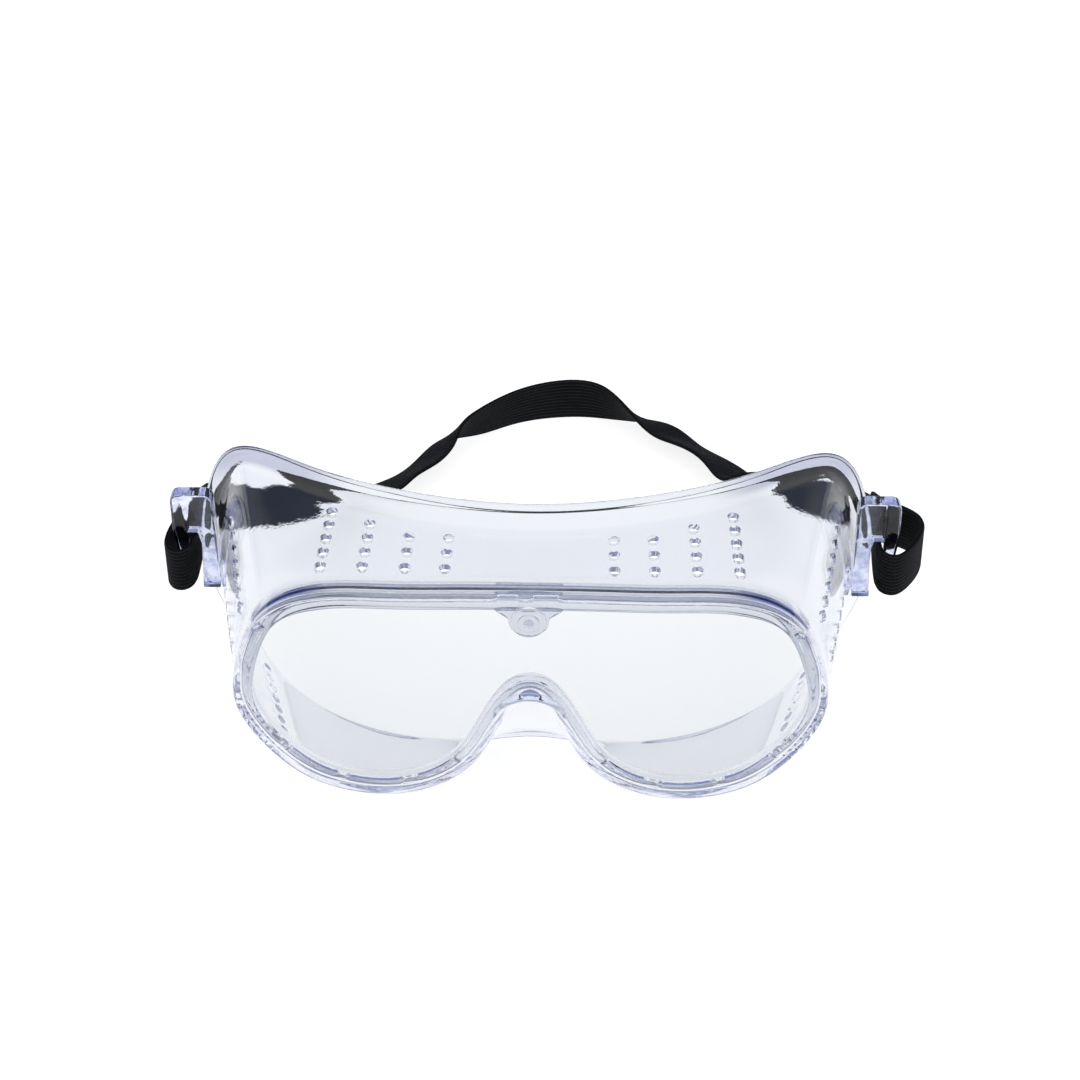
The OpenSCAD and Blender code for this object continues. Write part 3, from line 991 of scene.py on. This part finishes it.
def add_noise(tree, vector, scale, detail=2):
    node = tree.nodes.new("ShaderNodeTexNoise")
    node.inputs["Scale"].default_value = scale
    node.inputs["Detail"].default_value = detail
    tree.links.new(vector, node.inputs["Vector"])
    return node.outputs["Fac"]


def add_range(tree, value, from_span=(0, 1), to_span=(0, 1)):
    """Maps one span of values to another."""
    node = tree.nodes.new("ShaderNodeMapRange")
    for label, number in zip(("From Min", "From Max", "To Min", "To Max"), from_span + to_span):
        node.inputs[label].default_value = number
    tree.links.new(value, node.inputs["Value"])
    return node.outputs["Result"]


def add_math(tree, operation, *values):
    """One step of arithmetic on sockets and plain numbers."""
    node = tree.nodes.new("ShaderNodeMath")
    node.operation = operation
    for value, socket in zip(values, node.inputs):
        if isinstance(value, bpy.types.NodeSocket):
            tree.links.new(value, socket)
        else:
            socket.default_value = value
    return node.outputs["Value"]


def add_ramp(tree, value, *stops):
    """A colour ramp with two stops, each a position and a colour."""
    node = tree.nodes.new("ShaderNodeValToRGB")
    for element, (position, color) in zip(node.color_ramp.elements, stops):
        element.position = position
        element.color = (*color, 1)
    tree.links.new(value, node.inputs["Fac"])
    return node.outputs["Color"]


def add_bump(tree, shader, height, strength, distance):
    """Relief on the shader's surface. The distance is in metres."""
    node = tree.nodes.new("ShaderNodeBump")
    node.inputs["Strength"].default_value = strength
    node.inputs["Distance"].default_value = distance
    tree.links.new(height, node.inputs["Height"])
    tree.links.new(node.outputs["Normal"], shader.inputs["Normal"])


def add_blend(tree, factor, pale, dark):
    """Makes the base colour go from a pale tint to a darker one. Returns the mix node."""
    node = tree.nodes.new("ShaderNodeMix")
    node.data_type = "RGBA"
    node.inputs["A"].default_value = (*pale, 1)
    node.inputs["B"].default_value = (*dark, 1)
    tree.links.new(factor, node.inputs["Factor"])
    tree.links.new(node.outputs["Result"], tree.nodes["Principled BSDF"].inputs["Base Color"])
    return node


# %% Moulded ripple group
def ripple_group():
    """Broad waves that vary the polish, and fine specks on top of them for the relief."""
    group = bpy.data.node_groups.new("moulded_ripple", "ShaderNodeTree")
    for label, value in (("Wave Scale", 60), ("Speck Scale", 900), ("Lowest", 0.03), ("Highest", 0.1)):
        socket = group.interface.new_socket(label, in_out="INPUT", socket_type="NodeSocketFloat")
        socket.default_value = value
    for label in ("Roughness", "Height"):
        group.interface.new_socket(label, in_out="OUTPUT", socket_type="NodeSocketFloat")
    given = group.nodes.new("NodeGroupInput").outputs
    result = group.nodes.new("NodeGroupOutput").inputs
    place = add_place(group)
    waves = add_noise(group, place, 60)
    specks = add_noise(group, place, 900, 4)
    group.links.new(given["Wave Scale"], waves.node.inputs["Scale"])
    group.links.new(given["Speck Scale"], specks.node.inputs["Scale"])
    polish = add_range(group, waves, (0.35, 0.7))
    group.links.new(given["Lowest"], polish.node.inputs["To Min"])
    group.links.new(given["Highest"], polish.node.inputs["To Max"])
    group.links.new(polish, result["Roughness"])
    group.links.new(add_math(group, "MULTIPLY_ADD", specks, 0.15, waves), result["Height"])
    return group


ripple = ripple_group()


# %% Clear plastics
def clear_plastic(name, tint, ior, polish, relief, absorb=None, density=0.0):
    """A see-through plastic with an uneven polish and an optional blue depth."""
    material, tree, shader = new_material(name)
    shader.inputs["Base Color"].default_value = (*tint, 1)
    shader.inputs["Transmission Weight"].default_value = 1
    shader.inputs["IOR"].default_value = ior
    surface = tree.nodes.new("ShaderNodeGroup")
    surface.node_tree = ripple
    surface.inputs["Lowest"].default_value, surface.inputs["Highest"].default_value = polish
    tree.links.new(surface.outputs["Roughness"], shader.inputs["Roughness"])
    add_bump(tree, shader, surface.outputs["Height"], relief, 0.0004)
    if absorb is not None:
        depth = tree.nodes.new("ShaderNodeVolumeAbsorption")
        depth.inputs["Color"].default_value = (*absorb, 1)
        depth.inputs["Density"].default_value = density
        tree.links.new(depth.outputs["Volume"], tree.nodes["Material Output"].inputs["Volume"])
    return material, tree


VINYL_TINT = (0.775, 0.795, 0.83)
VINYL_PALE = (0.945, 0.955, 0.972)
PALE_HEIGHTS = (0.014, 0.05)      # metres above the table between which the tint deepens
# Painted navy shade for the marked places, partly the vinyl's own blue.
NAVY_SHADE = (0.02, 0.035, 0.22)
vinyl, tree = clear_plastic("clear_vinyl_finish", VINYL_TINT, ior=1.42, polish=(0.0, 0.025),
                            relief=0.2, absorb=(0.45, 0.52, 0.85), density=8)
height = add_range(tree, add_part(tree, add_place(tree), "Z"), PALE_HEIGHTS)
by_height = add_blend(tree, height, VINYL_PALE, VINYL_TINT)
# The marked places go towards navy: painted shade.
by_navy_shade = add_blend(tree, add_mark(tree, "vinyl_blue_and_painted_shade"), VINYL_TINT, NAVY_SHADE)
tree.links.new(by_height.outputs["Result"], by_navy_shade.inputs["A"])

# %% [markdown]
# The thick hooks are cloudy: a noise blends their tint to lavender in patches. The nose visor
# has the same finish, so the cloud fades out near the middle of the goggles.

# %% Thick vinyl
CLOUD_PALE = (0.84, 0.87, 0.95)
CLOUD_DARK = (0.42, 0.47, 0.72)
CLOUD_FROM = (0.02, 0.06)         # metres from the middle between which the cloud appears
thick_vinyl, tree = clear_plastic("thick_vinyl_finish", VINYL_TINT, ior=1.45, polish=(0.02, 0.08),
                                  relief=0.35, absorb=(0.35, 0.43, 0.85), density=18)
place = add_place(tree)
cloud = add_range(tree, add_noise(tree, place, 420, 5), (0.45, 0.62))
from_middle = add_math(tree, "ABSOLUTE", add_part(tree, place, "X"))
tree.links.new(add_range(tree, from_middle, CLOUD_FROM), cloud.node.inputs["To Max"])
add_blend(tree, cloud, CLOUD_PALE, CLOUD_DARK)

# %% [markdown]
# The lens is polished, but its cut edge is ground, so it is frosted and a little blue there.

# %% Lens finish
LENS_TINT = (0.82, 0.838, 0.848)
GROUND_TINT = (0.7, 0.74, 0.88)
GROUND_ROUGHNESS = 0.6
lens_plastic, tree = clear_plastic("lens_finish", LENS_TINT, ior=1.4, polish=(0.0, 0.02),
                                   relief=0.04)
ground_edge = add_mark(tree, "ground_edge")
add_blend(tree, ground_edge, LENS_TINT, GROUND_TINT)
roughness = tree.nodes["Principled BSDF"].inputs["Roughness"]
frost = tree.nodes.new("ShaderNodeMix")
frost.inputs["B"].default_value = GROUND_ROUGHNESS
tree.links.new(ground_edge, frost.inputs["Factor"])
tree.links.new(roughness.links[0].from_socket, frost.inputs["A"])
tree.links.new(frost.outputs["Result"], roughness)

# %% [markdown]
# ## Black elastic
# Real elastic is rubber cords covered by a dyed knit: matt black ribs with a faint sheen and fine
# cross threads. Thin grey lines run between the ribs. The pattern reads the "lay" attribute,
# whose first number is the distance along the webbing and whose second is the distance across
# it, in mm.

# %% Elastic finish
RIB_PITCH = (BAND_WIDTH - 0.5) / RIBS
DYE_DARK = (0.0015, 0.002, 0.0025)
DYE_PALE = (0.006, 0.0065, 0.008)
RIB_LINE_GREY = (0.075, 0.08, 0.095)
elastic, tree, shader = new_material("black_elastic_finish")
lay_place = add_mark(tree, "lay", "Vector")
threads = tree.nodes.new("ShaderNodeTexWave")
threads.bands_direction = "X"
threads.inputs["Scale"].default_value = 0.75
threads.inputs["Distortion"].default_value = 1.2
threads.inputs["Detail"].default_value = 2
tree.links.new(lay_place, threads.inputs["Vector"])
fuzz = add_noise(tree, lay_place, 4.5, 6)
patches = add_noise(tree, lay_place, 0.12)
weave = add_math(tree, "MULTIPLY_ADD", fuzz, 0.5, threads.outputs["Fac"])
add_bump(tree, shader, weave, 0.55, 0.00012)
dye = add_ramp(tree, fuzz, (0.35, DYE_DARK), (0.8, DYE_PALE))

# %% Pale lines between the ribs, and the dullness
across_ribs = add_math(tree, "DIVIDE", add_part(tree, lay_place, "Y"), RIB_PITCH)
from_rib = add_math(tree, "PINGPONG", across_ribs, 0.5)
line = add_range(tree, from_rib, (0.4, 0.5), (0, 0.75))
# Thin grey lines between the ribs, broken up by the fuzz.
rib_lines = add_blend(tree, add_math(tree, "MULTIPLY", line, fuzz), DYE_DARK, RIB_LINE_GREY)
tree.links.new(dye, rib_lines.inputs["A"])
tree.links.new(add_range(tree, patches, (0, 1), (0.62, 0.9)), shader.inputs["Roughness"])
shader.inputs["Sheen Weight"].default_value = 0.01
shader.inputs["Sheen Roughness"].default_value = 0.4
shader.inputs["Specular IOR Level"].default_value = 0.08

# %% Thread finish
thread_finish, tree, shader = new_material("black_thread_finish")
strands = add_noise(tree, add_place(tree), 2500)
shade = add_ramp(tree, strands, (0, (0.008, 0.008, 0.01)), (1, (0.05, 0.05, 0.055)))
tree.links.new(shade, shader.inputs["Base Color"])
add_bump(tree, shader, strands, 1, 0.00005)
shader.inputs["Roughness"].default_value = 0.55


# %% [markdown]
# ## Put each piece in its place
# Every piece says which body it rides on, which CAD nodes it stands for, and which finish goes
# in its one material slot.

# %% Finish, ride and replace
def install(piece, material, body, nodes_replaced):
    piece.data.materials.clear()
    piece.data.materials.append(material)
    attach(piece, body)
    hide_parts(*nodes_replaced)


install(moulding, vinyl, "frame", ["skirt", "face_bead", "lens_lip", "brow_ledge"])
install(tab, vinyl, "frame", ["lens_tab"])
install(nose, thick_vinyl, "frame", ["nose_ledge"])
install(lens, lens_plastic, "lens", ["lens"])
install(hook, thick_vinyl, "frame", ["strap_hook_right"])
install(other_hook, thick_vinyl, "frame", ["strap_hook_left"])
install(webbing, elastic, "headband", ["headband"])
install(right_tacks, thread_finish, "headband", ["stitch_right"])
install(left_tacks, thread_finish, "headband", ["stitch_left"])

# %% [markdown]
# ## Table and light
# The goggles stand on a white table that glows a little, under a bright, even sky. That is how
# clear things are lit: the surroundings do the work, because clear plastic shows little but
# what it bends and mirrors, and a glowing table keeps the shadows pale. The sky is dimmer and
# bluer behind the goggles, so that their top wall mirrors little of it, and their edges gather
# thin blue lines from it.

# %% Floor
deselect_everything()
bpy.ops.mesh.primitive_plane_add(size=6, location=(0, 0, -0.0004))
floor = bpy.context.object
floor.name = "pale_floor"
paper, tree, shader = new_material("light_table")
shader.inputs["Base Color"].default_value = (0.4, 0.4, 0.4, 1)
shader.inputs["Roughness"].default_value = 0.9
shader.inputs["Emission Color"].default_value = (1, 1, 1, 1)
shader.inputs["Emission Strength"].default_value = 0.82
floor.data.materials.append(paper)

# %% Sky
SKY_FRONT = (1, 1, 1)
SKY_BACK = (0.23, 0.27, 0.46)
world = bpy.data.worlds.new("soft_studio")
bpy.context.scene.world = world
world.use_nodes = True
tree = world.node_tree
direction = tree.nodes.new("ShaderNodeTexCoord").outputs["Generated"]
sky = add_ramp(tree, add_part(tree, direction, "Y"), (0.3, SKY_FRONT), (0.48, SKY_BACK))
tree.links.new(sky, tree.nodes["Background"].inputs["Color"])
tree.nodes["Background"].inputs["Strength"].default_value = 1.05

# %% [markdown]
# ## Camera
# A long lens looks down at the front of the goggles from 38 degrees above the table and two
# degrees to the right. It aims a little above and beside the rim, which leaves the goggles
# low in the picture.

# %% Place the camera
ELEVATION = math.radians(38)
AZIMUTH = math.radians(2)
ROLL = math.radians(0.45)
DISTANCE = 0.65
AIM_RIGHT = 0.0026
AIM_UP = 0.0367
back = Vector((math.sin(AZIMUTH) * math.cos(ELEVATION),
               -math.cos(AZIMUTH) * math.cos(ELEVATION), math.sin(ELEVATION)))
level = Vector((math.cos(AZIMUTH), math.sin(AZIMUTH), 0))
right = math.cos(ROLL) * level - math.sin(ROLL) * back.cross(level)
up = back.cross(right)
target = Vector((0, lip_low.y, 0.0365))
camera_data = bpy.data.cameras.new("camera")
camera_data.lens = 88.2
camera_data.sensor_width = 36
camera = bpy.data.objects.new("camera", camera_data)
bpy.context.scene.collection.objects.link(camera)
spot = target + DISTANCE * back + AIM_RIGHT * right + AIM_UP * up
turn = Matrix((right, up, back)).transposed().to_4x4()
camera.matrix_world = Matrix.Translation(spot) @ turn
bpy.context.scene.camera = camera
bpy.context.scene.view_settings.view_transform = "Standard"
bpy.context.scene.cycles.max_bounces = 24
bpy.context.scene.cycles.transmission_bounces = 24
bpy.context.scene.cycles.glossy_bounces = 24
